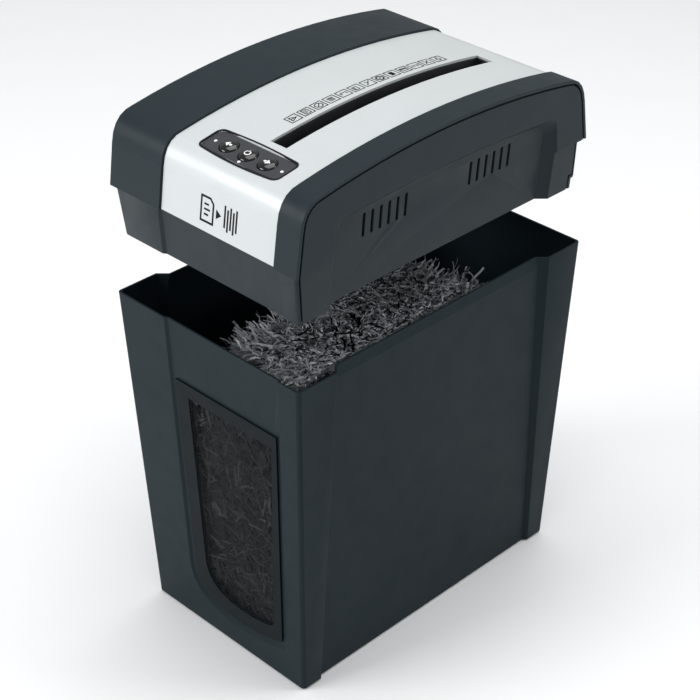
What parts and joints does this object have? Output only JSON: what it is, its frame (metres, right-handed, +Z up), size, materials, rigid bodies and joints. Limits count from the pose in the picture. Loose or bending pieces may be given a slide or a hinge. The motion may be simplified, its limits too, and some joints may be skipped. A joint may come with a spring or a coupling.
{
  "type": "paper shredder",
  "caption": "Slim paper shredder: tapered open bin with a smoked window, and a lift-off arched head with a feed slot, round buttons, geared cutters and a motor.",
  "frame": {"origin": "centre of the bin's footprint, on the floor", "axes": "+X to the right across the narrow width, +Y from the control end to the rear, +Z up"},
  "size_m": [0.2076, 0.32, 0.4658],
  "materials": {
    "bin_plastic": "satin, faint moulded grain",
    "window_smoke": "clear smoked, polished",
    "foot_rubber": "matte",
    "housing_plastic": "satin, faint moulded grain",
    "silver_plastic": "silver lacquer",
    "bezel_plastic": "matte",
    "lens_plastic": "clear diffused",
    "button_plastic": "polished black",
    "cutter_steel": "ground, lightly oiled",
    "zinc_plate": "zinc plated",
    "bearing_brass": "sintered",
    "gear_nylon": "natural nylon",
    "inner_plastic": "matte black",
    "circuit_board": "solder mask"
  },
  "bodies": {
    "bin": {"bin_tub": "bin_plastic", "window_pane": "window_smoke", "foot_front_left": "foot_rubber", "foot_front_right": "foot_rubber", "foot_rear_left": "foot_rubber", "foot_rear_right": "foot_rubber"},
    "head": {"hood_frame": "housing_plastic", "side_panel_right": "housing_plastic", "side_panel_left": "housing_plastic", "fascia_panel": "silver_plastic", "control_bezel": "bezel_plastic", "relay": "bezel_plastic", "led_overheat": "lens_plastic", "led_power": "lens_plastic", "led_bin_full": "lens_plastic", "reduction_axle": "cutter_steel", "sensor_pin": "cutter_steel", "motor_can": "cutter_steel", "pan_screw_front_left": "cutter_steel", "pan_screw_front_right": "cutter_steel", "pan_screw_rear_left": "cutter_steel", "pan_screw_rear_right": "cutter_steel", "end_plate_front": "zinc_plate", "end_plate_rear": "zinc_plate", "tie_rod_upper_left": "zinc_plate", "tie_rod_lower_left": "zinc_plate", "tie_rod_upper_right": "zinc_plate", "tie_rod_lower_right": "zinc_plate", "bushing_a_front": "bearing_brass", "bushing_a_rear": "bearing_brass", "bushing_b_front": "bearing_brass", "bushing_b_rear": "bearing_brass", "capacitor": "gear_nylon", "stripper_comb_left": "inner_plastic", "stripper_comb_right": "inner_plastic", "throat_guide": "inner_plastic", "lower_pan": "inner_plastic", "motor_cradle": "inner_plastic", "transformer": "inner_plastic", "mains_inlet": "inner_plastic", "interlock_switch": "inner_plastic", "sensor_bracket": "inner_plastic", "power_board": "circuit_board", "control_board": "circuit_board"},
    "button_reverse": {"button_reverse": "button_plastic"},
    "button_power": {"button_power": "button_plastic"},
    "button_forward": {"button_forward": "button_plastic"},
    "cutter_a": {"cutter_a": "cutter_steel", "gear_cutter_a": "cutter_steel", "drive_wheel": "gear_nylon"},
    "cutter_b": {"cutter_b": "cutter_steel", "gear_cutter_b": "cutter_steel"},
    "reduction": {"reduction_wheel": "gear_nylon", "reduction_pinion": "cutter_steel"},
    "motor_rotor": {"motor_shaft": "cutter_steel", "motor_pinion": "bearing_brass", "motor_fan": "inner_plastic"},
    "sensor_lever": {"sensor_lever": "gear_nylon"},
    "interlock_plunger": {"interlock_plunger": "gear_nylon"}
  },
  "joints": [
    {"name": "head_lift", "type": "slide", "parent": "bin", "child": "head", "axis": [0, 0, 1], "range_m": [-0.0935, 0.09]},
    {"name": "button_reverse_press", "type": "slide", "parent": "head", "child": "button_reverse", "axis": [0, 0.1643, -0.9864], "range_m": [0, 0.0012], "stiffness_N_per_m": 300},
    {"name": "button_power_press", "type": "slide", "parent": "head", "child": "button_power", "axis": [0, 0.1643, -0.9864], "range_m": [0, 0.0012], "stiffness_N_per_m": 300},
    {"name": "button_forward_press", "type": "slide", "parent": "head", "child": "button_forward", "axis": [0, 0.1643, -0.9864], "range_m": [0, 0.0012], "stiffness_N_per_m": 300},
    {"name": "cutter_a_spin", "type": "hinge", "parent": "head", "child": "cutter_a", "pos_m": [0.012, 0, 0.3883], "axis": [0, 1, 0], "continuous": true},
    {"name": "cutter_b_spin", "type": "hinge", "parent": "head", "child": "cutter_b", "pos_m": [0.044, 0, 0.3883], "axis": [0, 1, 0], "continuous": true},
    {"name": "reduction_spin", "type": "hinge", "parent": "head", "child": "reduction", "pos_m": [-0.022, 0, 0.40527], "axis": [0, 1, 0], "continuous": true},
    {"name": "motor_spin", "type": "hinge", "parent": "head", "child": "motor_rotor", "pos_m": [-0.056, 0, 0.39344], "axis": [0, 1, 0], "continuous": true},
    {"name": "sensor_tilt", "type": "hinge", "parent": "head", "child": "sensor_lever", "pos_m": [0.0445, 0.008, 0.4233], "axis": [0, -1, 0], "range_deg": [0, 25], "stiffness_Nm_per_rad": 0.004},
    {"name": "interlock_push", "type": "slide", "parent": "head", "child": "interlock_plunger", "axis": [0, 0, 1], "range_m": [0, 0.0025], "stiffness_N_per_m": 200}
  ],
  "couplings": [
    {"joint": "cutter_b_spin", "follows": "cutter_a_spin", "ratio": -1},
    {"joint": "reduction_spin", "follows": "cutter_a_spin", "ratio": -2.1667},
    {"joint": "motor_spin", "follows": "cutter_a_spin", "ratio": 8.2333}
  ]
}
